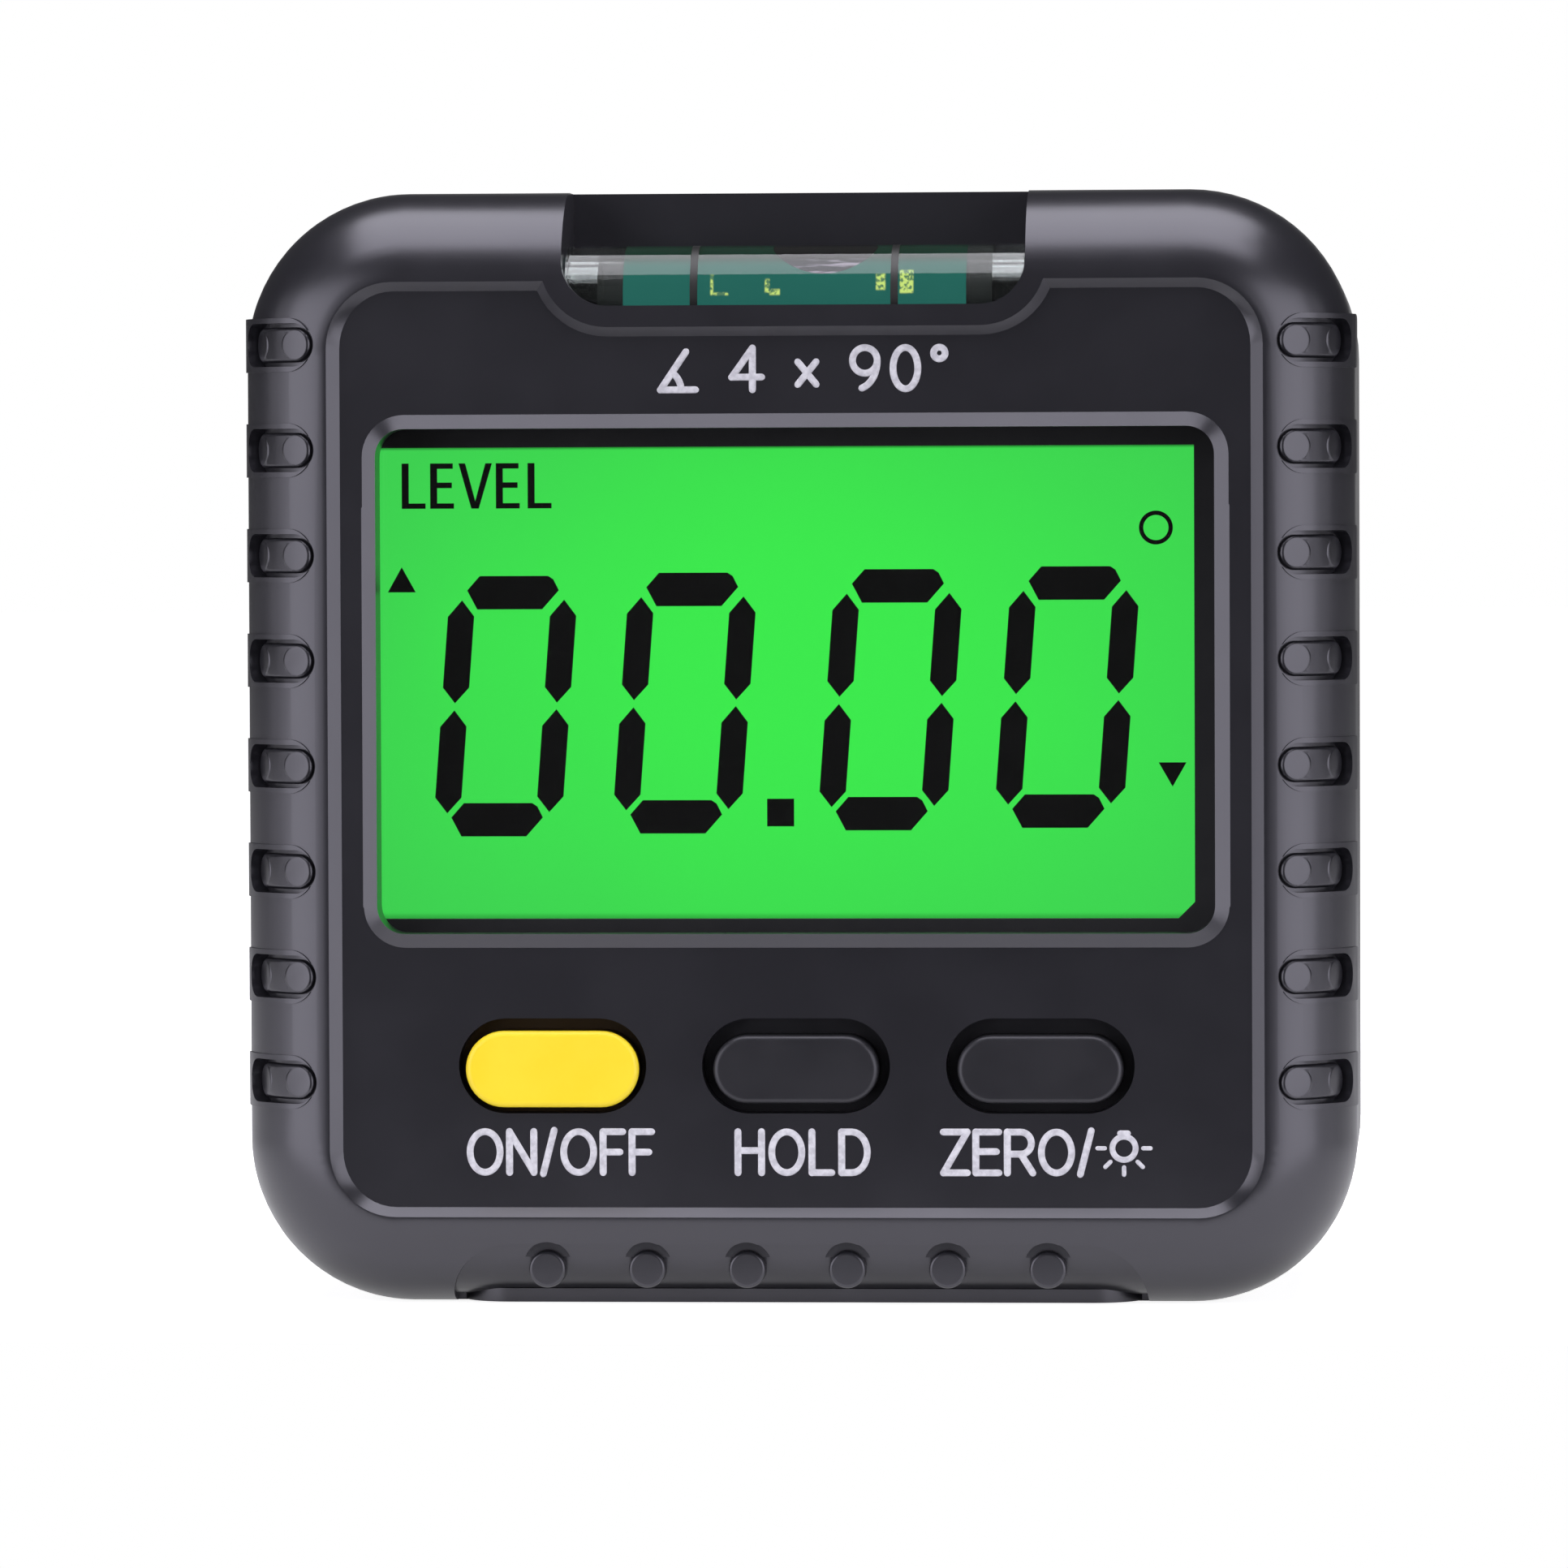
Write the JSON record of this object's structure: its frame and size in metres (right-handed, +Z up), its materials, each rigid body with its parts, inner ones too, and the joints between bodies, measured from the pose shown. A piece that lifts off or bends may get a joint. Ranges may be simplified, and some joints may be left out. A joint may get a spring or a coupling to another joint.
{
  "type": "digital angle gauge",
  "caption": "Square pocket digital angle gauge with a lit display, push keys, a bubble vial and magnets in its flat base, for reading the tilt of a surface.",
  "frame": {"origin": "middle of the flat base, under the middle of the box that holds the part", "axes": "+Z up from the base, front face towards -Y, +X to the right seen from the front"},
  "size_m": [0.0542, 0.024, 0.054],
  "materials": {
    "case_charcoal": "satin moulded plastic",
    "window_clear": "clear polished plastic",
    "gasket_black": "matt foam",
    "lcd_green": "lit display glass",
    "backlight_white": "milky light guide",
    "strip_pink": "silicone",
    "board_green": "solder mask",
    "chip_black": "moulded",
    "component_tan": "fired",
    "plunger_white": "moulded",
    "key_yellow": "satin",
    "key_dark": "satin",
    "vial_clear": "clear polished acrylic",
    "vial_green": "tinted liquid",
    "plug_dark": "matt",
    "ring_black": "printed",
    "magnet_nickel": "plated",
    "cell_jacket": "printed jacket, plain",
    "contact_nickel": "plated",
    "screw_steel": "plated"
  },
  "bodies": {
    "case": {"front_housing": "case_charcoal", "rear_housing": "case_charcoal", "display_window": "window_clear", "display_gasket": "gasket_black", "lcd_glass": "lcd_green", "backlight_panel": "backlight_white", "connector_strip": "strip_pink", "circuit_board": "board_green", "microcontroller": "chip_black", "tilt_sensor": "chip_black", "board_components": "component_tan", "on_off_switch": "chip_black", "hold_switch": "chip_black", "zero_switch": "chip_black", "vial_tube": "vial_clear", "vial_liquid": "vial_green", "vial_plugs": "plug_dark", "vial_end_caps": "vial_clear", "vial_rings": "ring_black", "left_magnet": "magnet_nickel", "right_magnet": "magnet_nickel", "upper_cell": "cell_jacket", "lower_cell": "cell_jacket", "upper_spring": "contact_nickel", "lower_spring": "contact_nickel", "terminal_plates": "contact_nickel", "bridge_plate": "contact_nickel", "case_screws": "screw_steel", "board_screws": "screw_steel"},
    "on_off_key": {"on_off_button": "key_yellow", "on_off_plunger": "plunger_white"},
    "hold_key": {"hold_button": "key_dark", "hold_plunger": "plunger_white"},
    "zero_key": {"zero_button": "key_dark", "zero_plunger": "plunger_white"},
    "battery_door": {"battery_door": "case_charcoal"}
  },
  "joints": [
    {"name": "on_off_press", "type": "slide", "parent": "case", "child": "on_off_key", "axis": [0, 1, 0], "range_m": [0, 0.0003], "stiffness_N_per_m": 1000},
    {"name": "hold_press", "type": "slide", "parent": "case", "child": "hold_key", "axis": [0, 1, 0], "range_m": [0, 0.0003], "stiffness_N_per_m": 1000},
    {"name": "zero_press", "type": "slide", "parent": "case", "child": "zero_key", "axis": [0, 1, 0], "range_m": [0, 0.0003], "stiffness_N_per_m": 1000},
    {"name": "battery_door_hinge", "type": "hinge", "parent": "case", "child": "battery_door", "pos_m": [0, 0.011, 0.01445], "axis": [-1, 0, 0], "range_deg": [0, 90]}
  ]
}
